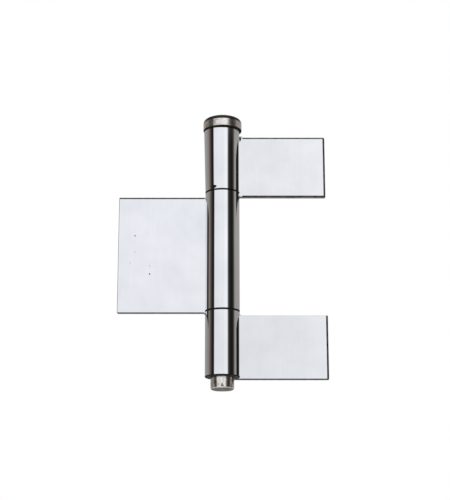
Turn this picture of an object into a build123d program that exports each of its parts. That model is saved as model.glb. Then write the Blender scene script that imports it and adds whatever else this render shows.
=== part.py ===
"""Three-part flag hinge: three leaves of rolled strip on one headed pin.

The pin axis is +Z and the origin lies halfway along the pin. The door leaf reaches to -X and the two
frame leaves to +X, all flat in one plane behind the barrel, and -Y faces whoever looks at the barrel.
Every size is in millimetres.
"""

from build123d import *
from math import asin, degrees
import os

# The strip that each leaf is cut from
sheet = 2.4  # thickness
leaf_reach = 45.7  # from the pin axis to a leaf's outer end
frame_knuckle = 28.5  # height of the knuckle of each frame leaf
door_knuckle = 52.8  # height of the door leaf's knuckle
lip_gap = 0.2  # between the curl's free end and the leaf that it closes against
edge_break = 0.3  # bevel all along the strip's two sheared sides
lower_top_break = 0.1  # the same on the top side of the lower frame leaf, which stayed crisp
frame_end_bevel = 0.6  # rolled-over front edge at the outer end of a frame leaf
door_end_bevel = 0.2  # the same on the door leaf, which was sheared more cleanly

# The flat of a leaf is trimmed a little short of its knuckle's end, so that the leaves pass each other
leaf_trim = 0.5  # on the frame leaves' top sides and the door leaf's bottom side
trim_start = 9.0  # from the pin axis to where the trimmed part begins

# The pin
pin_radius = 5.05
head_radius = 8.5
head_height = 7.3  # from the head's seat to its crown
head_side = 4.9  # height at which the side would meet the crown with no shoulder
shoulder_fillet = 2.0
head_lower_fillet = 0.8
pin_projection = 5.3  # length of the plain end below the barrel
end_fillet = 0.9

# Punch marks in a ring round the pin's lower end, each a cone that points up
punch_count = 8
punch_radius = 0.75  # at its foot
punch_height = 1.8
punch_rise = 0.8  # from the end face to the marks' feet

# Fits
running_clearance = 0.05  # radial, between the pin and each knuckle
end_play = 0.2  # between the door knuckle and the upper knuckle

# What follows from them
bore_radius = pin_radius + running_clearance
barrel_radius = bore_radius + sheet
pin_length = pin_projection + 2 * frame_knuckle + door_knuckle + end_play + head_height
pin_bottom = -pin_length / 2
lower_bottom = pin_bottom + pin_projection
door_bottom = lower_bottom + frame_knuckle
upper_bottom = door_bottom + door_knuckle + end_play
barrel_top = upper_bottom + frame_knuckle
crown_rise = head_height - head_side
crown_radius = (head_radius**2 + crown_rise**2) / (2 * crown_rise)

# The curl leaves the flat at the back of the barrel and runs right round the pin, until the outer
# corner of its free end nears the leaf again; angles are in degrees from +X
curl_start = 90
lip_angle = degrees(asin((bore_radius - lip_gap) / barrel_radius))
curl_turn = 360 - curl_start + lip_angle

os.makedirs("parts", exist_ok=True)

# Section of a frame leaf, seen along the pin: one strip, flat behind the barrel and rolled at its end
with BuildSketch() as frame_section:
    with BuildLine():
        back = Line((leaf_reach, barrel_radius), (0, barrel_radius))
        outside = CenterArc((0, 0), barrel_radius, curl_start, curl_turn)
        inside = CenterArc((0, 0), bore_radius, lip_angle, -curl_turn)
        Line(outside @ 1, inside @ 0)
        front = Line(inside @ 1, (leaf_reach, bore_radius))
        Line(front @ 1, back @ 0)
    make_face()

# The door leaf is the same strip turned to the other side
with BuildSketch() as door_section:
    mirror(frame_section.sketch, about=Plane.YZ)


def trim_flat(side, knuckle_end, depth):
    """Cut the flat back from one end of its knuckle; side is the sign of X that the leaf reaches to."""
    with Locations((side * (trim_start + leaf_reach / 2), bore_radius + sheet / 2, knuckle_end)):
        Box(leaf_reach, 2 * sheet, 2 * depth, mode=Mode.SUBTRACT)


def bevel_edges(leaf, outer_end, front_bevel, top_break=edge_break):
    """Roll over the front edge of the leaf's outer end, then break the edges of both sheared sides."""
    chamfer(outer_end.edges().filter_by(Axis.Z).sort_by(Axis.Y)[0], length=front_bevel)
    for direction, length in ((1, top_break), (-1, edge_break)):
        sheared = leaf.faces().filter_by(lambda face: face.normal_at().Z * direction > 0.99)
        rim = sheared.edges().filter_by(lambda edge: abs(abs(edge.center().X) - trim_start) > sheet / 2)
        chamfer(rim, length=length)


# Lower frame leaf: carries the door leaf on its knuckle
with BuildPart() as lower_frame_leaf:
    with BuildSketch(Plane.XY.offset(lower_bottom)):
        add(frame_section.sketch)
    extrude(amount=frame_knuckle)
    trim_flat(1, door_bottom, leaf_trim)
    lower_end = lower_frame_leaf.faces().sort_by(Axis.X)[-1]
    bevel_edges(lower_frame_leaf, lower_end, frame_end_bevel, lower_top_break)
lower_frame_leaf.part.label = "lower_frame_leaf"
export_step(lower_frame_leaf.part, "parts/lower_frame_leaf.step")

# Door leaf: turns on the pin between the two frame leaves
with BuildPart() as door_leaf:
    with BuildSketch(Plane.XY.offset(door_bottom)):
        add(door_section.sketch)
    extrude(amount=door_knuckle)
    trim_flat(-1, door_bottom, leaf_trim)
    bevel_edges(door_leaf, door_leaf.faces().sort_by(Axis.X)[0], door_end_bevel)
door_leaf.part.label = "door_leaf"
export_step(door_leaf.part, "parts/door_leaf.step")

# Upper frame leaf: the pin's head seats on its knuckle
with BuildPart() as upper_frame_leaf:
    with BuildSketch(Plane.XY.offset(upper_bottom)):
        add(frame_section.sketch)
    extrude(amount=frame_knuckle)
    trim_flat(1, barrel_top, leaf_trim)
    bevel_edges(upper_frame_leaf, upper_frame_leaf.faces().sort_by(Axis.X)[-1], frame_end_bevel)
upper_frame_leaf.part.label = "upper_frame_leaf"
export_step(upper_frame_leaf.part, "parts/upper_frame_leaf.step")

# Pin: turned in one piece, with a domed head and a rounded lower end that is punched all round
with BuildPart() as hinge_pin:
    with BuildSketch(Plane.XZ) as pin_profile:
        with BuildLine():
            stem = Polyline(
                (0, pin_bottom),
                (pin_radius, pin_bottom),
                (pin_radius, barrel_top),
                (head_radius, barrel_top),
                (head_radius, barrel_top + head_side),
            )
            crown = RadiusArc(stem @ 1, (0, barrel_top + head_height), -crown_radius)
            Line(crown @ 1, stem @ 0)
        make_face()
        shoulder = pin_profile.vertices().group_by(Axis.X)[-1].sort_by(Axis.Y)[-1]
        fillet(shoulder, radius=shoulder_fillet)
        lower_rim = pin_profile.vertices().group_by(Axis.X)[-1].sort_by(Axis.Y)[0]
        fillet(lower_rim, radius=head_lower_fillet)
        end_rim = pin_profile.vertices().group_by(Axis.Y)[0].sort_by(Axis.X)[-1]
        fillet(end_rim, radius=end_fillet)
    revolve(axis=Axis.Z)
    with Locations(Plane.XY.offset(pin_bottom + punch_rise)):
        with PolarLocations(pin_radius, punch_count, start_angle=-90):
            Cone(
                bottom_radius=punch_radius,
                top_radius=0,
                height=punch_height,
                align=(Align.CENTER, Align.CENTER, Align.MIN),
                mode=Mode.SUBTRACT,
            )
hinge_pin.part.label = "hinge_pin"
export_step(hinge_pin.part, "parts/hinge_pin.step")
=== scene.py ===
"""Dresses a three-part flag hinge: three rolled leaves on one headed pin, bright nickel plated.

Lengths in the classes are millimetres and become metres as the meshes are built. The pin axis is +Z,
the leaves' backs face +Y and the camera looks along +Y from below.
"""

import logging
import math
from dataclasses import dataclass
from enum import Enum

import bmesh
import bpy
from mathutils import Euler, Matrix, Vector


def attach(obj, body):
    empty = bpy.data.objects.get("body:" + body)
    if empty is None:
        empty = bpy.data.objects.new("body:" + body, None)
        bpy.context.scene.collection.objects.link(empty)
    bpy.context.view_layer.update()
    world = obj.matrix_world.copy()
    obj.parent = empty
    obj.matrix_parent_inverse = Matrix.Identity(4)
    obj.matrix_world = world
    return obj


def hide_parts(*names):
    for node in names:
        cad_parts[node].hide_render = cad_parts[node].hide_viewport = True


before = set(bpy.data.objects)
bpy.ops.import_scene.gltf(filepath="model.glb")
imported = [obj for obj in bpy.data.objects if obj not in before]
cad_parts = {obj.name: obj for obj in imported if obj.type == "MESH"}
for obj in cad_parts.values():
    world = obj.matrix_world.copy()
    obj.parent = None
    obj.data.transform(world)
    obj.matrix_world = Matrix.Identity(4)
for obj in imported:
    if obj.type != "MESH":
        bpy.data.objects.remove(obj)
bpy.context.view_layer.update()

Colour = tuple[float, float, float, float]
# A piece's materials, in the order of Skin
Skins = tuple[bpy.types.Material, ...]

MM = 0.001
# An edge is sharp where its two faces turn by more than this
SHARP_ANGLE = math.radians(35)
# Points that lie nearer together than this, in millimetres, are one point
SAME_POINT = 0.002
# A face lies square to an axis where its normal has at least this share of it
SQUARE_ON = 0.99
log = logging.getLogger("flag_hinge")


class Hand(Enum):
    """The side of the barrel that a leaf reaches to; the value is the sign of X."""

    FRAME = 1
    DOOR = -1


class Skin(Enum):
    """The part of a piece's surface that a face belongs to; the value is its material slot.

    Unbuffed faces are a leaf's sheared sides, and on the pin its end face, a plain matt grey.
    Painted-shade faces are the seams, the curl's edges, the pits and the head's underside, painted
    nearly black as shade. Marked faces are a leaf's front edges, painted dark grey as shade, and on
    the pin its punch marks. Dark-reflection faces are the head's shoulder, painted dark as a reflection.
    """

    BUFFED = 0
    UNBUFFED = 1
    # Painted shade, nearly black: seams, the curl's edges, pits and the head's underside
    PAINTED_SHADE = 2
    # A leaf's rounded front edges, painted dark grey as shade; on the pin, its punch marks
    MARKED = 3
    # The upper part of the head's shoulder, painted dark as a reflection
    DARK_REFLECTION = 4


def linear_tint(hex_colour: str) -> Colour:
    """Turn an sRGB hex colour into linear values.

    Args:
        hex_colour: Six hex digits after a hash sign.

    Returns:
        Red, green, blue and an alpha of one.
    """
    channels = [int(hex_colour[i : i + 2], 16) / 255 for i in (1, 3, 5)]
    # The curve of the sRGB standard
    linear = [c / 12.92 if c <= 0.04045 else ((c + 0.055) / 1.055) ** 2.4 for c in channels]
    return (linear[0], linear[1], linear[2], 1.0)


def per_metre(feature: float) -> float:
    """Give the texture scale at which a feature measures so many millimetres.

    Args:
        feature: The feature's size.

    Returns:
        The scale, per metre.
    """
    return 1 / (feature * MM)


def add_node(
    tree: bpy.types.NodeTree, kind: str, links: dict | None = None, **settings: object
) -> bpy.types.Node:
    """Add a node, set it up and join it to others.

    Args:
        tree: The node tree that gets the node.
        kind: The node's class name.
        links: Input name or number, with a value or with the output socket that feeds it.
        settings: Attributes of the node itself, and for a colour ramp its stops.

    Returns:
        The new node.
    """
    node = tree.nodes.new(kind)
    stops = settings.pop("stops", [])
    for attribute, value in settings.items():
        setattr(node, attribute, value)
    for _ in range(len(stops) - 2):
        node.color_ramp.elements.new(1.0)
    for element, (place, colour) in zip(node.color_ramp.elements if stops else (), stops):
        element.position = place
        element.color = colour
    for name, value in (links or {}).items():
        if isinstance(value, bpy.types.NodeSocket):
            tree.links.new(value, node.inputs[name])
        else:
            node.inputs[name].default_value = value
    return node


def new_material(name: str) -> tuple[bpy.types.Material, bpy.types.NodeTree]:
    """Make an empty node material.

    Args:
        name: The material's name.

    Returns:
        The material and its node tree.
    """
    made = bpy.data.materials.new(name)
    made.use_nodes = True
    made.node_tree.nodes.clear()
    return made, made.node_tree


@dataclass(frozen=True)
class BuffedNickelPlate:
    """Cold-rolled steel strip, bright nickel plated and buffed to a mirror.

    The eye sees a clear, slightly cool reflection of the studio. It wavers a little where the buffing
    wheel pressed unevenly, and faint clouds of buffing haze lie on it.
    """

    name: str = "nickel_plate_buffed"
    bright: str = "#EDEEF1"
    bright_at: float = 0.7
    hazy: str = "#E0E2E6"
    hazy_at: float = 0.3
    roughness: float = 0.035
    wave_size: float = 9.0
    wave_depth: float = 0.004
    cloud_size: float = 13.0
    streak_share: float = 0.22
    # Real buffing lines are a few hundredths of a millimetre apart, too fine to show, so they are
    # drawn 0.7 mm apart
    streak_size: float = 0.7
    streak_stretch: float = 0.03
    streak_depth: float = 0.0002

    def material(self) -> bpy.types.Material:
        """Build the node material.

        Returns:
            The finished material.
        """
        made, tree = new_material(self.name)
        place = add_node(tree, "ShaderNodeTexCoord").outputs["Object"]
        wave = add_node(
            tree,
            "ShaderNodeTexNoise",
            {"Vector": place, "Scale": per_metre(self.wave_size), "Detail": 1.0, "Roughness": 0.4},
        )
        along = add_node(
            tree, "ShaderNodeMapping", {"Vector": place, "Scale": (1.0, 1.0, self.streak_stretch)}
        )
        streak = add_node(
            tree,
            "ShaderNodeTexNoise",
            {
                "Vector": along.outputs["Vector"],
                "Scale": per_metre(self.streak_size),
                "Detail": 3.0,
                "Roughness": 0.6,
            },
        )
        cloud = add_node(
            tree,
            "ShaderNodeTexNoise",
            {"Vector": place, "Scale": per_metre(self.cloud_size), "Detail": 3.0, "Roughness": 0.55},
        )
        haze = add_node(
            tree,
            "ShaderNodeMixRGB",
            {"Fac": self.streak_share, "Color1": cloud.outputs["Fac"], "Color2": streak.outputs["Fac"]},
        )
        shade = add_node(
            tree,
            "ShaderNodeValToRGB",
            {"Fac": haze.outputs["Color"]},
            stops=[(self.hazy_at, linear_tint(self.hazy)), (self.bright_at, linear_tint(self.bright))],
        )
        swell = add_node(
            tree,
            "ShaderNodeBump",
            {"Height": wave.outputs["Fac"], "Distance": self.wave_depth * MM},
        )
        lines = add_node(
            tree,
            "ShaderNodeBump",
            {
                "Height": streak.outputs["Fac"],
                "Distance": self.streak_depth * MM,
                "Normal": swell.outputs["Normal"],
            },
        )
        shader = add_node(
            tree,
            "ShaderNodeBsdfPrincipled",
            {
                "Base Color": shade.outputs["Color"],
                "Metallic": 1.0,
                "Roughness": self.roughness,
                "Normal": lines.outputs["Normal"],
            },
        )
        add_node(tree, "ShaderNodeOutputMaterial", {"Surface": shader.outputs["BSDF"]})
        return made


@dataclass(frozen=True)
class ShearedStripEdge:
    """The sides where the strip was sheared, plated over the torn steel but never buffed.

    The eye sees a dull grey band with short lines across the thickness.
    """

    name: str = "steel_strip_side_sheared"
    clean: str = "#8C8A89"
    clean_at: float = 0.75
    soiled: str = "#5A5857"
    soiled_at: float = 0.35
    roughness: float = 0.42
    # Real tear lines are about 0.1 mm apart, too fine to show, so they are drawn 0.4 mm apart
    tear_size: float = 0.4
    tear_stretch: float = 0.15
    tear_depth: float = 0.03
    soil_size: float = 3.0

    def material(self) -> bpy.types.Material:
        """Build the node material.

        Returns:
            The finished material.
        """
        made, tree = new_material(self.name)
        place = add_node(tree, "ShaderNodeTexCoord").outputs["Object"]
        across = add_node(
            tree, "ShaderNodeMapping", {"Vector": place, "Scale": (1.0, self.tear_stretch, 1.0)}
        )
        tear = add_node(
            tree,
            "ShaderNodeTexNoise",
            {"Vector": across.outputs["Vector"], "Scale": per_metre(self.tear_size), "Detail": 2.0},
        )
        soil = add_node(
            tree,
            "ShaderNodeTexNoise",
            {"Vector": place, "Scale": per_metre(self.soil_size), "Detail": 3.0},
        )
        shade = add_node(
            tree,
            "ShaderNodeValToRGB",
            {"Fac": soil.outputs["Fac"]},
            stops=[
                (self.soiled_at, linear_tint(self.soiled)),
                (self.clean_at, linear_tint(self.clean)),
            ],
        )
        lines = add_node(
            tree,
            "ShaderNodeBump",
            {"Height": tear.outputs["Fac"], "Distance": self.tear_depth * MM},
        )
        shader = add_node(
            tree,
            "ShaderNodeBsdfPrincipled",
            {
                "Base Color": shade.outputs["Color"],
                "Metallic": 1.0,
                "Roughness": self.roughness,
                "Normal": lines.outputs["Normal"],
            },
        )
        add_node(tree, "ShaderNodeOutputMaterial", {"Surface": shader.outputs["BSDF"]})
        return made


@dataclass(frozen=True)
class MattDarkCoat:
    """A matt dark coat: painted shade in the seams, the pits and under the pin's head, and along edges.

    The eye sees a matt, nearly black line that is greyer in patches. Along a leaf's front edge it is
    dark grey painted shade, and on the pin's end face it is a plain matt grey.
    """

    name: str
    thin: str
    thick: str
    thin_at: float = 0.65
    thick_at: float = 0.35
    specular: float = 0.25
    patch_size: float = 2.5
    grain_size: float = 0.4
    grain_depth: float = 0.02
    roughness: float = 0.65

    def material(self) -> bpy.types.Material:
        """Build the node material.

        Returns:
            The finished material.
        """
        made, tree = new_material(self.name)
        place = add_node(tree, "ShaderNodeTexCoord").outputs["Object"]
        patch = add_node(
            tree,
            "ShaderNodeTexNoise",
            {"Vector": place, "Scale": per_metre(self.patch_size), "Detail": 3.0},
        )
        grain = add_node(
            tree,
            "ShaderNodeTexNoise",
            {"Vector": place, "Scale": per_metre(self.grain_size), "Detail": 2.0},
        )
        shade = add_node(
            tree,
            "ShaderNodeValToRGB",
            {"Fac": patch.outputs["Fac"]},
            stops=[(self.thick_at, linear_tint(self.thick)), (self.thin_at, linear_tint(self.thin))],
        )
        relief = add_node(
            tree,
            "ShaderNodeBump",
            {"Height": grain.outputs["Fac"], "Distance": self.grain_depth * MM},
        )
        shader = add_node(
            tree,
            "ShaderNodeBsdfPrincipled",
            {
                "Base Color": shade.outputs["Color"],
                "Roughness": self.roughness,
                "Specular IOR Level": self.specular,
                "Normal": relief.outputs["Normal"],
            },
        )
        add_node(tree, "ShaderNodeOutputMaterial", {"Surface": shader.outputs["BSDF"]})
        return made


@dataclass(frozen=True)
class TurnedNickelPlate:
    """A turned steel pin, bright nickel plated and only lightly buffed.

    The eye sees a warmer, softer reflection than the leaves give, mottled brown and grey where the
    plate is thin, with faint rings left by the lathe. It is duller in the punch marks. Given a dark
    colour, it is the painted dark reflection on the upper part of the head's shoulder.
    """

    name: str
    bright: str
    thin: str
    roughness: float
    bright_at: float = 0.6
    thin_at: float = 0.35
    mottle_size: float = 1.3
    mottle_depth: float = 0.004
    # The lathe's feed leaves rings about 0.1 mm apart, too fine to show, so they are drawn 0.5 mm apart
    feed: float = 0.5
    feed_depth: float = 0.0006

    def material(self) -> bpy.types.Material:
        """Build the node material.

        Returns:
            The finished material.
        """
        made, tree = new_material(self.name)
        place = add_node(tree, "ShaderNodeTexCoord").outputs["Object"]
        mottle = add_node(
            tree,
            "ShaderNodeTexNoise",
            {"Vector": place, "Scale": per_metre(self.mottle_size), "Detail": 3.0, "Roughness": 0.6},
        )
        rings = add_node(
            tree,
            "ShaderNodeTexWave",
            {"Vector": place, "Scale": per_metre(self.feed) / math.tau, "Distortion": 0.4},
            wave_type="BANDS",
            bands_direction="Z",
        )
        shade = add_node(
            tree,
            "ShaderNodeValToRGB",
            {"Fac": mottle.outputs["Fac"]},
            stops=[(self.thin_at, linear_tint(self.thin)), (self.bright_at, linear_tint(self.bright))],
        )
        swell = add_node(
            tree,
            "ShaderNodeBump",
            {"Height": mottle.outputs["Fac"], "Distance": self.mottle_depth * MM},
        )
        lines = add_node(
            tree,
            "ShaderNodeBump",
            {
                "Height": rings.outputs["Fac"],
                "Distance": self.feed_depth * MM,
                "Normal": swell.outputs["Normal"],
            },
        )
        shader = add_node(
            tree,
            "ShaderNodeBsdfPrincipled",
            {
                "Base Color": shade.outputs["Color"],
                "Metallic": 1.0,
                "Roughness": self.roughness,
                "Normal": lines.outputs["Normal"],
            },
        )
        add_node(tree, "ShaderNodeOutputMaterial", {"Surface": shader.outputs["BSDF"]})
        return made


def crease(bm: bmesh.types.BMesh) -> None:
    """Shade every face smooth, and keep an edge sharp where its faces meet steeply.

    Args:
        bm: The mesh data.
    """
    for face in bm.faces:
        face.smooth = True
    for edge in bm.edges:
        edge.smooth = len(edge.link_faces) == 2 and edge.calc_face_angle() < SHARP_ANGLE


def finish_mesh(bm: bmesh.types.BMesh, name: str) -> bpy.types.Object:
    """Turn a bmesh in millimetres into a smooth-shaded object in metres.

    Args:
        bm: The mesh data, which is freed.
        name: The object's name.

    Returns:
        The object, linked to the scene.
    """
    bmesh.ops.scale(bm, vec=(MM, MM, MM), verts=bm.verts)
    bmesh.ops.recalc_face_normals(bm, faces=bm.faces)
    crease(bm)
    mesh = bpy.data.meshes.new(name)
    bm.to_mesh(mesh)
    bm.free()
    made = bpy.data.objects.new(name, mesh)
    bpy.context.scene.collection.objects.link(made)
    return made


def cut_away(piece: bpy.types.Object, cutters: bpy.types.Object) -> None:
    """Cut small solids out of a piece.

    Args:
        piece: The piece, which gets the cut mesh.
        cutters: The solids, all in one object, which is removed afterwards.
    """
    cut = piece.modifiers.new("cut_away", "BOOLEAN")
    cut.operation = "DIFFERENCE"
    cut.solver = "EXACT"
    cut.object = cutters
    evaluated = piece.evaluated_get(bpy.context.evaluated_depsgraph_get())
    cut_mesh = bpy.data.meshes.new_from_object(evaluated)
    piece.modifiers.remove(cut)
    piece.data = cut_mesh
    bpy.data.objects.remove(cutters)
    bm = bmesh.new()
    bm.from_mesh(cut_mesh)
    bmesh.ops.remove_doubles(bm, verts=bm.verts, dist=SAME_POINT * MM)
    crease(bm)
    bm.to_mesh(cut_mesh)
    bm.free()


def dress(piece: bpy.types.Object, skins: Skins) -> None:
    """Give a piece its materials.

    Args:
        piece: The piece, which has none yet.
        skins: The materials.
    """
    for skin in skins:
        piece.data.materials.append(skin)


def settle_normals(piece: bpy.types.Object) -> None:
    """Let the large faces rule the shading, so that flats stay flat between their rounded edges.

    Args:
        piece: The piece, which gets a modifier.
    """
    weights = piece.modifiers.new("large_faces_rule", "WEIGHTED_NORMAL")
    weights.keep_sharp = True


@dataclass(frozen=True)
class Pit:
    """A small hollow where the plate was hurt, centred on the surface.

    Its squatness is how many times wider it is than high.
    """

    x: float
    y: float
    z: float
    half_width: float
    depth: float = 0.12
    squatness: float = 1.0


@dataclass
class RolledLeaf:
    """One leaf: a blank sheared from strip, its edges broken, with one end rolled round the pin.

    A break is how far the edges of a sheared side are rounded. On the flat, from relief_start outwards,
    the side's softness stretches that rounding over the faces and its relief trims the side back. The
    flare is how much looser the curl is at the top of the knuckle than at its bottom.
    """

    name: str
    node: str
    body: str
    hand: Hand
    bottom: float
    height: float
    skins: Skins
    end_roll: float
    reach: float = 45.7
    sheet: float = 2.4
    bore_radius: float = 5.1
    lip_gap: float = 0.2
    lip_break: float = 0.15
    least_break: float = 0.02
    top_break: float = 0.3
    bottom_break: float = 0.3
    top_softness: float = 1.0
    bottom_softness: float = 1.0
    top_relief: float = 0.0
    bottom_relief: float = 0.0
    relief_start: float = 9.0
    relief_ramp: float = 0.3
    flare: float = 0.0
    pits: tuple[Pit, ...] = ()
    corner_steps: int = 5
    flat_slices: int = 8
    slice_angle: float = 2.0

    @property
    def middle_radius(self) -> float:
        """Radius of the strip's middle line in the curl."""
        return self.bore_radius + self.sheet / 2

    @property
    def curl_angle(self) -> float:
        """Angle that the strip turns through, from the flat to its lip, in radians."""
        outside = self.bore_radius + self.sheet
        return 1.5 * math.pi + math.asin((self.bore_radius - self.lip_gap) / outside)

    @property
    def length(self) -> float:
        """Length of the flat blank."""
        return self.reach + self.middle_radius * self.curl_angle

    def outline(self, inset: float) -> list[tuple[float, float]]:
        """Draw the blank's outline seen along Z, round from its front outer corner to its back one.

        Args:
            inset: How far it's set in from the blank's full size.

        Returns:
            Place along the blank and through it, point by point.
        """
        points = []
        # Each corner: at the outer end or at the lip, in front or behind, and its rounding's first angle
        for far, side, start in ((0, -1, 180), (1, -1, 270), (1, 1, 0), (0, 1, 90)):
            rolled = self.end_roll if (far, side) == (0, -1) else self.lip_break
            radius = max(rolled - inset, self.least_break)
            along = self.length * far + (inset + radius) * (1 - 2 * far)
            through = side * (self.sheet / 2 - inset - radius)
            for i in range(self.corner_steps + 1):
                angle = math.radians(start + 90 * i / self.corner_steps)
                points.append((along + radius * math.cos(angle), through + radius * math.sin(angle)))
        return points

    def layers(self) -> list[tuple[float, float]]:
        """List the layers of the blank, which are close together where its edges are rounded.

        Returns:
            Inset and height of each layer, from the bottom side to the top one.
        """
        turns = [math.pi / 2 * i / self.corner_steps for i in range(self.corner_steps + 1)]
        top = self.bottom + self.height
        low = self.bottom_break
        high = self.top_break
        lower = [(low * (1 - math.sin(t)), self.bottom + low * (1 - math.cos(t))) for t in turns]
        upper = [(high * (1 - math.sin(t)), top - high * (1 - math.cos(t))) for t in reversed(turns)]
        return lower + upper

    def cut_blank(self) -> bmesh.types.BMesh:
        """Shear the blank; X runs along it from the outer end and Y through it, front to back.

        Returns:
            The blank, still flat.
        """
        bm = bmesh.new()
        rings = [
            [bm.verts.new((x, y, z)) for x, y in self.outline(inset)] for inset, z in self.layers()
        ]
        for lower, upper in zip(rings, rings[1:]):
            for i, vert in enumerate(lower):
                after = (i + 1) % len(lower)
                bm.faces.new((vert, lower[after], upper[after], upper[i]))
        bm.faces.new(reversed(rings[0]))
        bm.faces.new(rings[-1])
        return bm

    def slice_blank(self, bm: bmesh.types.BMesh) -> None:
        """Cut the blank across into narrow strips, so that it can be rolled.

        Args:
            bm: The blank, still flat.
        """
        step = self.middle_radius * math.radians(self.slice_angle)
        curl = self.length - self.reach
        trim_end = self.reach - self.relief_start
        places = [self.reach * i / self.flat_slices for i in range(1, self.flat_slices - 1)]
        places += [trim_end, trim_end + self.relief_ramp]
        places += [self.reach + i * step for i in range(int((curl - self.lip_break) / step) + 1)]
        for place in places:
            bmesh.ops.bisect_plane(
                bm,
                geom=bm.verts[:] + bm.edges[:] + bm.faces[:],
                plane_co=(place, 0, 0),
                plane_no=(1, 0, 0),
            )

    def mark_skin(self, bm: bmesh.types.BMesh) -> None:
        """Buff the faces and the back edges, and paint shade into the seams and along the front edges.

        The sheared sides of the flat stay as they are.

        Args:
            bm: The blank, still flat.
        """
        bm.normal_update()
        for face in bm.faces:
            in_curl = face.calc_center_median().x > self.reach
            if abs(face.normal.y) > SQUARE_ON:
                skin = Skin.BUFFED
            # The curl's ends and edges, where the knuckles meet: painted shade, nearly black
            elif in_curl:
                skin = Skin.PAINTED_SHADE
            elif max(abs(face.normal.x), abs(face.normal.z)) > SQUARE_ON:
                skin = Skin.UNBUFFED
            else:
                # Rounded front edges: painted shade, a dark grey line along the edge; back edges stay
                # buffed
                skin = Skin.MARKED if face.normal.y < 0 else Skin.BUFFED
            face.material_index = skin.value

    def relieve(self, bm: bmesh.types.BMesh) -> None:
        """Trim the flat a little short of its knuckle, so that the leaves pass each other.

        Args:
            bm: The blank, still flat.
        """
        top = self.bottom + self.height
        trim_end = self.reach - self.relief_start
        for vert in bm.verts:
            if vert.co.x > trim_end + self.relief_ramp / 2:
                continue
            if vert.co.z < top - self.height / 2:
                above = (vert.co.z - self.bottom) * self.bottom_softness
                vert.co.z = self.bottom + self.bottom_relief + above
            else:
                vert.co.z = top - self.top_relief - (top - vert.co.z) * self.top_softness

    def roll(self, bm: bmesh.types.BMesh) -> None:
        """Roll the sliced blank round the pin, a little looser towards the top of a flared knuckle.

        Args:
            bm: The blank, still flat.
        """
        for vert in bm.verts:
            along, through, z = vert.co
            turned = max(0.0, along - self.reach) / self.middle_radius
            side = max(0.0, math.sin(turned)) * (z - self.bottom) / self.height
            radius = self.middle_radius + through + self.flare * side
            x = self.reach - min(along, self.reach) - radius * math.sin(turned)
            vert.co = Vector((self.hand.value * x, radius * math.cos(turned), z))

    def sink_pits(self, leaf: bpy.types.Object) -> None:
        """Sink the pits into the leaf's surface, and paint them nearly black as shade.

        Args:
            leaf: The rolled leaf, which is cut.
        """
        bm = bmesh.new()
        for pit in self.pits:
            on_flat = abs(pit.x) > self.bore_radius + self.sheet
            outward = Vector((0, -1, 0)) if on_flat else Vector((pit.x, pit.y, 0))
            place = Matrix.Translation((pit.x, pit.y, pit.z))
            turn = outward.to_track_quat("Z", "Y").to_matrix().to_4x4()
            shape = Matrix.Diagonal((pit.half_width, pit.half_width / pit.squatness, pit.depth, 1))
            bmesh.ops.create_icosphere(bm, subdivisions=3, radius=1.0, matrix=place @ turn @ shape)
        # Each pit is painted nearly black as shade
        for face in bm.faces:
            face.material_index = Skin.PAINTED_SHADE.value
        cutters = finish_mesh(bm, "plate_pits")
        dress(cutters, self.skins)
        cut_away(leaf, cutters)

    def build(self) -> bpy.types.Object:
        """Make the leaf and put it on its body.

        Returns:
            The finished piece.
        """
        bm = self.cut_blank()
        self.slice_blank(bm)
        self.mark_skin(bm)
        self.relieve(bm)
        self.roll(bm)
        leaf = finish_mesh(bm, self.name)
        dress(leaf, self.skins)
        if self.pits:
            self.sink_pits(leaf)
        settle_normals(leaf)
        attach(leaf, self.body)
        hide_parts(self.node)
        return leaf


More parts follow.
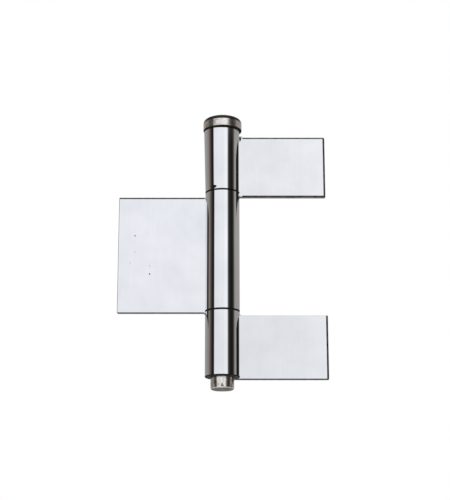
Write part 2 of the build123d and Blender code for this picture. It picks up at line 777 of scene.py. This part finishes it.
@dataclass
class HeadedPin:
    """The pin: turned in one piece, with a domed head and a rounded end that is punched all round.

    Its end face is a plain matt grey as far up as matt_end_height. A face above the end's rounding
    that lies more than punch_least_depth inside the pin's side belongs to a punch mark, and one of the
    head whose normal points down by more than underside_slope belongs to the head's underside.
    """

    skins: Skins
    name: str = "headed_pin"
    node: str = "hinge_pin"
    body: str = "frame_side"
    radius: float = 5.05
    head_radius: float = 8.5
    head_height: float = 7.3
    head_side: float = 4.9
    shoulder_round: float = 2.0
    head_lower_fillet: float = 0.8
    bottom: float = -61.3
    seat: float = 54.0
    end_round: float = 0.9
    # How far up the end face's plain matt grey reaches
    matt_end_height: float = 0.3
    punch_count: int = 8
    punch_radius: float = 0.75
    punch_height: float = 1.8
    punch_rise: float = 0.8
    punch_least_depth: float = 0.05
    underside_slope: float = 0.3
    sides: int = 192

    def shoulder(self) -> tuple[float, float, float]:
        """Find where the rounding of the head's shoulder runs.

        Returns:
            Radius and height of its middle, and the angle at which it meets the dome, in degrees.
        """
        rise = self.head_height - self.head_side
        dome_radius = (self.head_radius**2 + rise**2) / (2 * rise)
        above = self.head_height - dome_radius
        r = self.head_radius - self.shoulder_round
        up = math.sqrt((dome_radius - self.shoulder_round) ** 2 - r**2)
        return r, self.seat + above + up, math.degrees(math.atan2(up, r))

    def head_outline(self) -> list[tuple[float, float]]:
        """Draw the head's shoulder, which is rounded, and the dome that it runs into.

        Returns:
            Radius and height of each point, from the side's top to just short of the crown's middle.
        """
        r, z, meeting = self.shoulder()
        crown = self.seat + self.head_height
        dome_radius = self.shoulder_round + r / math.cos(math.radians(meeting))
        shoulder = self.arc(r, z, self.shoulder_round, 0, meeting, steps=14)
        dome = self.arc(0.0, crown - dome_radius, dome_radius, meeting, 90, steps=20)
        return shoulder + dome[1:-1]

    def profile(self) -> list[tuple[float, float]]:
        """Draw half of the pin's outline.

        Returns:
            Radius and height of each point, from the end face's middle to the crown's.
        """
        end = self.end_round
        lower = self.head_lower_fillet
        outline = [(0.0, self.bottom)]
        outline += self.arc(self.radius - end, self.bottom + end, end, -90, 0, steps=8)
        outline += [(self.radius, self.seat)]
        outline += self.arc(self.head_radius - lower, self.seat + lower, lower, -90, 0, steps=6)
        outline += self.head_outline()
        return outline + [(0.0, self.seat + self.head_height)]

    def arc(
        self, r: float, z: float, radius: float, start: float, end: float, steps: int
    ) -> list[tuple[float, float]]:
        """Give points on an arc of the outline.

        Args:
            r: Radius at which the arc's centre lies.
            z: Height of the arc's centre.
            radius: The arc's own radius.
            start: First angle, in degrees above the outward direction.
            end: Last angle.
            steps: Number of chords.

        Returns:
            Radius and height of each point.
        """
        angles = [math.radians(start + (end - start) * i / steps) for i in range(steps + 1)]
        return [(r + radius * math.cos(a), z + radius * math.sin(a)) for a in angles]

    def turn(self) -> bmesh.types.BMesh:
        """Turn the outline round the axis.

        Returns:
            The solid pin, without its punch marks.
        """
        outline = self.profile()
        bm = bmesh.new()
        verts = [bm.verts.new((r, 0.0, z)) for r, z in outline]
        edges = [bm.edges.new(pair) for pair in zip(verts, verts[1:])]
        bmesh.ops.spin(
            bm,
            geom=verts + edges,
            cent=(0, 0, 0),
            axis=(0, 0, 1),
            angle=math.tau,
            steps=self.sides,
            use_merge=True,
        )
        bmesh.ops.remove_doubles(bm, verts=bm.verts, dist=SAME_POINT)
        return bm

    def punches(self) -> bpy.types.Object:
        """Make the ring of cones, point up, that marks the pin a little above its lower rim.

        Returns:
            All the cones as one object.
        """
        bm = bmesh.new()
        height = self.bottom + self.punch_rise + self.punch_height / 2
        for i in range(self.punch_count):
            turn = math.tau * i / self.punch_count - math.pi / 2
            place = (self.radius * math.cos(turn), self.radius * math.sin(turn), height)
            bmesh.ops.create_cone(
                bm,
                cap_ends=True,
                segments=24,
                radius1=self.punch_radius,
                radius2=0.0,
                depth=self.punch_height,
                matrix=Matrix.Translation(place),
            )
        return finish_mesh(bm, "pin_punches")

    def mark_skin(self, pin: bpy.types.Object) -> None:
        """Paint shade under the head, make the end face a plain matt grey, paint a dark reflection on
        the shoulder, and dull the punch marks.

        Args:
            pin: The pin, already punched.
        """
        bm = bmesh.new()
        bm.from_mesh(pin.data)
        r, foot, meeting = self.shoulder()
        dome_rim = r + self.shoulder_round * math.cos(math.radians(meeting))
        for face in bm.faces:
            middle = face.calc_center_median() / MM
            away = math.hypot(middle.x, middle.y)
            in_head = middle.z > self.seat - self.head_lower_fillet
            in_shaft = self.bottom + self.end_round < middle.z < self.seat
            # The head's underside and its lower rounding: painted shade, nearly black
            if in_head and face.normal.z < -self.underside_slope:
                skin = Skin.PAINTED_SHADE
            # The upper part of the head's shoulder: a painted dark reflection
            elif middle.z > foot and away > dome_rim:
                skin = Skin.DARK_REFLECTION
            # The end face: a plain matt grey
            elif middle.z < self.bottom + self.matt_end_height:
                skin = Skin.UNBUFFED
            elif in_shaft and away < self.radius - self.punch_least_depth:
                skin = Skin.MARKED
            else:
                skin = Skin.BUFFED
            face.material_index = skin.value
        bm.to_mesh(pin.data)
        bm.free()

    def build(self) -> bpy.types.Object:
        """Make the pin and put it on its body.

        Returns:
            The finished piece.
        """
        pin = finish_mesh(self.turn(), self.name)
        cut_away(pin, self.punches())
        pin.data.materials.clear()
        dress(pin, self.skins)
        self.mark_skin(pin)
        settle_normals(pin)
        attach(pin, self.body)
        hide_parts(self.node)
        return pin


@dataclass(frozen=True)
class Wall:
    """A stop in the studio's round of panels, flags and walls.

    The azimuth is in degrees from the camera's side of the hinge, positive to the camera's right.
    """

    azimuth: float
    tint: str

    @property
    def stop(self) -> tuple[float, Colour]:
        """The same as a ramp stop."""
        return ((self.azimuth + 180) / 360, linear_tint(self.tint))


@dataclass(frozen=True)
class Level:
    """A stop in a mix by height: an elevation in degrees, and the share that shows there."""

    elevation: float
    share: float

    @property
    def stop(self) -> tuple[float, Colour]:
        """The same as a ramp stop, with the share as a grey."""
        return ((self.elevation + 90) / 180, (self.share, self.share, self.share, 1.0))


@dataclass
class Studio:
    """The room that the plate mirrors, the pale floor, the lamp over it and the camera."""

    # A broad soft box behind the camera, a black flag at each side of it, and grey walls beyond
    low_walls: tuple[Wall, ...] = (
        Wall(-180, "#F4F5F7"),
        Wall(-170, "#F4F5F7"),
        Wall(-160, "#A29F9E"),
        Wall(-135, "#9E9A99"),
        Wall(-120, "#96928F"),
        Wall(-108, "#8F8A87"),
        Wall(-97, "#857F7A"),
        Wall(-88, "#665E58"),
        Wall(-79, "#4A423D"),
        Wall(-71, "#27221F"),
        Wall(-57, "#1E1B1A"),
        Wall(-53, "#E9EAEC"),
        Wall(-8, "#F0F1F4"),
        Wall(-1, "#F0F1F4"),
        Wall(0.5, "#EAEBEC"),
        Wall(4.5, "#F1F2F4"),
        Wall(8, "#F0F1F3"),
        Wall(22, "#FAFBFA"),
        Wall(30, "#F6F7F4"),
        Wall(34.5, "#D4D5D3"),
        Wall(39, "#454444"),
        Wall(49, "#2A2827"),
        Wall(58, "#1F1D1D"),
        Wall(66, "#1C1A19"),
        Wall(74, "#2B2927"),
        Wall(83, "#5E5954"),
        Wall(89, "#9A948E"),
        Wall(100, "#9E9B95"),
        Wall(140, "#A19E9C"),
        Wall(160, "#A5A2A0"),
        Wall(170, "#F4F5F7"),
        Wall(180, "#F4F5F7"),
    )
    # Higher up the soft box is narrower and the flags are greyer; the pin's head mirrors this part
    high_walls: tuple[Wall, ...] = (
        Wall(-180, "#F4F5F7"),
        Wall(-150, "#98928E"),
        Wall(-105, "#8E8883"),
        Wall(-90, "#5E5852"),
        Wall(-60, "#48423D"),
        Wall(-51, "#4E4945"),
        Wall(-47, "#5E5955"),
        Wall(-39, "#D8D9DB"),
        Wall(-30, "#ECEDEF"),
        Wall(0, "#F4F5F6"),
        Wall(28, "#FAFBFA"),
        Wall(36, "#C4C5C4"),
        Wall(43, "#6A6866"),
        Wall(50, "#484543"),
        Wall(64, "#403D3B"),
        Wall(85, "#58534F"),
        Wall(95, "#88827D"),
        Wall(140, "#98938F"),
        Wall(180, "#F4F5F7"),
    )
    high_part: tuple[Level, ...] = (Level(20, 0), Level(21, 1))
    # The room is a little dimmer low down, and turns into floor, ceiling and skylight
    dim_part: tuple[Level, ...] = (Level(8.5, 0.03), Level(10.5, 0.055), Level(16, 0))
    floor_part: tuple[Level, ...] = (Level(-70, 0.85), Level(-35, 0.72), Level(-9, 0.4), Level(2, 0))
    ceiling_part: tuple[Level, ...] = (Level(25, 0), Level(30, 0.6), Level(65, 1))
    skylight_part: tuple[Level, ...] = (Level(60, 0), Level(80, 1))
    room_strength: float = 1.15
    dim_tint: str = "#0A0A0A"
    floor_tint: str = "#CCCBC9"
    ceiling_tint: str = "#979694"
    skylight_tint: str = "#A9A8A6"
    backdrop_tint: str = "#FFFFFF"
    camera_place: tuple[float, float, float] = (0.86, -549.88, -147.04)
    camera_pitch: float = 14.959
    camera_yaw: float = -0.027
    camera_lens: float = 94.365
    floor_level: float = -900.0
    floor_radius: float = 2600.0
    fade_start: float = 0.4
    fade_end: float = 0.95
    board_tint: str = "#F1F1EF"
    lamp_height: float = 900.0
    lamp_size: float = 700.0
    lamp_power: float = 30.0

    def directions(self, tree: bpy.types.NodeTree) -> tuple[bpy.types.NodeSocket, bpy.types.NodeSocket]:
        """Work out which way a ray of light looks.

        Args:
            tree: The world's node tree.

        Returns:
            Azimuth and elevation, each from 0 to 1 over its whole range.
        """
        direction = add_node(tree, "ShaderNodeTexCoord").outputs["Generated"]
        axes = add_node(tree, "ShaderNodeSeparateXYZ", {"Vector": direction})
        forward = add_node(
            tree, "ShaderNodeMath", {0: axes.outputs["Y"], 1: -1.0}, operation="MULTIPLY"
        )
        azimuth = add_node(
            tree,
            "ShaderNodeMath",
            {0: axes.outputs["X"], 1: forward.outputs["Value"]},
            operation="ARCTAN2",
        )
        turn = add_node(
            tree,
            "ShaderNodeMapRange",
            {"Value": azimuth.outputs["Value"], "From Min": -math.pi, "From Max": math.pi},
        )
        rise = add_node(tree, "ShaderNodeMath", {0: axes.outputs["Z"]}, operation="ARCSINE")
        height = add_node(
            tree,
            "ShaderNodeMapRange",
            {"Value": rise.outputs["Value"], "From Min": -math.pi / 2, "From Max": math.pi / 2},
        )
        return turn.outputs["Result"], height.outputs["Result"]

    def room_colour(self, tree: bpy.types.NodeTree) -> bpy.types.NodeSocket:
        """Paint the room: walls all round, changing with height.

        Args:
            tree: The world's node tree.

        Returns:
            The colour of the room in each direction.
        """
        turn, height = self.directions(tree)
        low, high = (
            add_node(tree, "ShaderNodeValToRGB", {"Fac": turn}, stops=[wall.stop for wall in walls])
            for walls in (self.low_walls, self.high_walls)
        )
        room = low.outputs["Color"]
        for part, colour in (
            (self.high_part, high.outputs["Color"]),
            (self.dim_part, linear_tint(self.dim_tint)),
            (self.floor_part, linear_tint(self.floor_tint)),
            (self.ceiling_part, linear_tint(self.ceiling_tint)),
            (self.skylight_part, linear_tint(self.skylight_tint)),
        ):
            share = add_node(
                tree, "ShaderNodeValToRGB", {"Fac": height}, stops=[level.stop for level in part]
            )
            mixed = add_node(
                tree,
                "ShaderNodeMixRGB",
                {"Fac": share.outputs["Color"], "Color1": room, "Color2": colour},
            )
            room = mixed.outputs["Color"]
        return room

    def light_room(self) -> None:
        """Build the world: a white backdrop to the camera, and the painted room to the plate."""
        world = bpy.data.worlds.new("studio_room")
        bpy.context.scene.world = world
        world.use_nodes = True
        tree = world.node_tree
        tree.nodes.clear()
        mirrored = add_node(
            tree,
            "ShaderNodeBackground",
            {"Color": self.room_colour(tree), "Strength": self.room_strength},
        )
        backdrop = add_node(
            tree, "ShaderNodeBackground", {"Color": linear_tint(self.backdrop_tint), "Strength": 1.0}
        )
        path = add_node(tree, "ShaderNodeLightPath")
        seen = add_node(
            tree,
            "ShaderNodeMixShader",
            {
                0: path.outputs["Is Camera Ray"],
                1: mirrored.outputs["Background"],
                2: backdrop.outputs["Background"],
            },
        )
        add_node(tree, "ShaderNodeOutputWorld", {"Surface": seen.outputs["Shader"]})

    def lay_floor(self) -> None:
        """Lay the pale floor, which fades into the backdrop at its rim and isn't mirrored."""
        bm = bmesh.new()
        bmesh.ops.create_circle(bm, cap_ends=True, segments=96, radius=self.floor_radius)
        bmesh.ops.translate(bm, vec=(0, 0, self.floor_level), verts=bm.verts)
        floor = finish_mesh(bm, "studio_floor")
        made, tree = new_material("painted_board_matt")
        place = add_node(tree, "ShaderNodeTexCoord").outputs["Object"]
        away = add_node(tree, "ShaderNodeVectorMath", {0: place}, operation="LENGTH")
        fade = add_node(
            tree,
            "ShaderNodeMapRange",
            {
                "Value": away.outputs["Value"],
                "From Min": self.fade_start * self.floor_radius * MM,
                "From Max": self.fade_end * self.floor_radius * MM,
            },
        )
        board = add_node(
            tree,
            "ShaderNodeBsdfPrincipled",
            {"Base Color": linear_tint(self.board_tint), "Roughness": 0.8},
        )
        clear = add_node(tree, "ShaderNodeBsdfTransparent")
        mixed = add_node(
            tree,
            "ShaderNodeMixShader",
            {0: fade.outputs["Result"], 1: board.outputs["BSDF"], 2: clear.outputs["BSDF"]},
        )
        add_node(tree, "ShaderNodeOutputMaterial", {"Surface": mixed.outputs["Shader"]})
        floor.data.materials.append(made)
        floor.visible_glossy = False

    def hang_lamp(self) -> None:
        """Hang a soft lamp over the floor; the plate mirrors the room and not this lamp."""
        data = bpy.data.lights.new("floor_lamp", "AREA")
        data.shape = "DISK"
        data.size = self.lamp_size * MM
        data.energy = self.lamp_power
        lamp = bpy.data.objects.new("floor_lamp", data)
        bpy.context.scene.collection.objects.link(lamp)
        lamp.location = (0.0, 0.0, self.lamp_height * MM)
        lamp.visible_glossy = False
        lamp.visible_camera = False

    def place_camera(self) -> None:
        """Put the camera where the photograph was taken from."""
        data = bpy.data.cameras.new("photograph_camera")
        data.lens = self.camera_lens
        data.clip_start = 0.01
        camera = bpy.data.objects.new("photograph_camera", data)
        bpy.context.scene.collection.objects.link(camera)
        camera.location = Vector(self.camera_place) * MM
        camera.rotation_euler = Euler(
            (math.radians(90 + self.camera_pitch), 0.0, math.radians(self.camera_yaw))
        )
        bpy.context.scene.camera = camera

    def build(self) -> None:
        """Set up the whole studio, with colours shown as they are."""
        bpy.context.scene.view_settings.view_transform = "Standard"
        self.light_room()
        self.lay_floor()
        self.hang_lamp()
        self.place_camera()


def main() -> None:
    """Build the hinge and its studio."""
    logging.basicConfig(level=logging.INFO, format="%(name)s: %(message)s")
    # Painted shade: nearly black in the seams, the curl's edges, the pits and under the pin's head
    painted_shade = MattDarkCoat("painted_shade_in_seams", thin="#1E1D1C", thick="#070707").material()
    # Painted shade along the leaves' rounded front edges, dark grey
    painted_edge_shade = MattDarkCoat("painted_shade_on_edges", thin="#504E4C", thick="#282625").material()
    # A plain matt grey for the pin's end face
    matt_grey = MattDarkCoat("matt_grey_end_face", thin="#75716E", thick="#4E4B49").material()
    turned = TurnedNickelPlate("nickel_plate_turned", bright="#EFEDEA", thin="#BDB4AD", roughness=0.22)
    punched = TurnedNickelPlate("nickel_plate_punched", bright="#B8B4B0", thin="#9C9691", roughness=0.3)
    # A painted dark reflection on the upper part of the pin head's shoulder
    painted_dark_reflection = TurnedNickelPlate("nickel_plate_painted_dark_reflection", bright="#4F4C4A", thin="#3E3B38", roughness=0.3)
    strip_skins = (BuffedNickelPlate().material(), ShearedStripEdge().material(), painted_shade, painted_edge_shade)
    pin_skins = (turned.material(), matt_grey, painted_shade, punched.material(), painted_dark_reflection.material())
    # A nick at the foot of the upper knuckle, and specks in the front face of the door leaf
    nick = Pit(-3.7, -6.5, 26.75, 1.35, depth=0.35, squatness=1.9)
    specks = (
        Pit(-31.8, 5.1, -9.6, 0.32),
        Pit(-38.4, 5.1, 7.7, 0.28),
        Pit(-31.8, 5.1, -5.9, 0.17),
        Pit(-40.4, 5.1, -4.6, 0.17),
        Pit(-38.3, 5.1, 0.3, 0.16),
    )
    pieces = [
        RolledLeaf(
            name="upper_leaf_rolled",
            node="upper_frame_leaf",
            body="upper_side",
            hand=Hand.FRAME,
            bottom=25.5,
            height=28.5,
            skins=strip_skins,
            end_roll=0.9,
            top_softness=2.5,
            bottom_softness=2.4,
            top_relief=0.5,
            flare=0.7,
            pits=(nick,),
        ),
        RolledLeaf(
            name="door_leaf_rolled",
            node="door_leaf",
            body="door_side",
            hand=Hand.DOOR,
            bottom=-27.5,
            height=52.8,
            skins=strip_skins,
            end_roll=0.2,
            top_softness=2.5,
            bottom_relief=0.5,
            relief_start=8.0,
            pits=specks,
        ),
        RolledLeaf(
            name="lower_leaf_rolled",
            node="lower_frame_leaf",
            body="frame_side",
            hand=Hand.FRAME,
            bottom=-56.0,
            height=28.5,
            skins=strip_skins,
            end_roll=0.9,
            top_break=0.55,
            bottom_break=0.4,
            top_softness=0.2,
            top_relief=0.5,
            relief_start=8.0,
        ),
        HeadedPin(skins=pin_skins),
    ]
    for piece in pieces:
        made = piece.build()
        log.info("%s: %d faces", made.name, len(made.data.polygons))
    Studio().build()


if __name__ == "__main__":
    main()
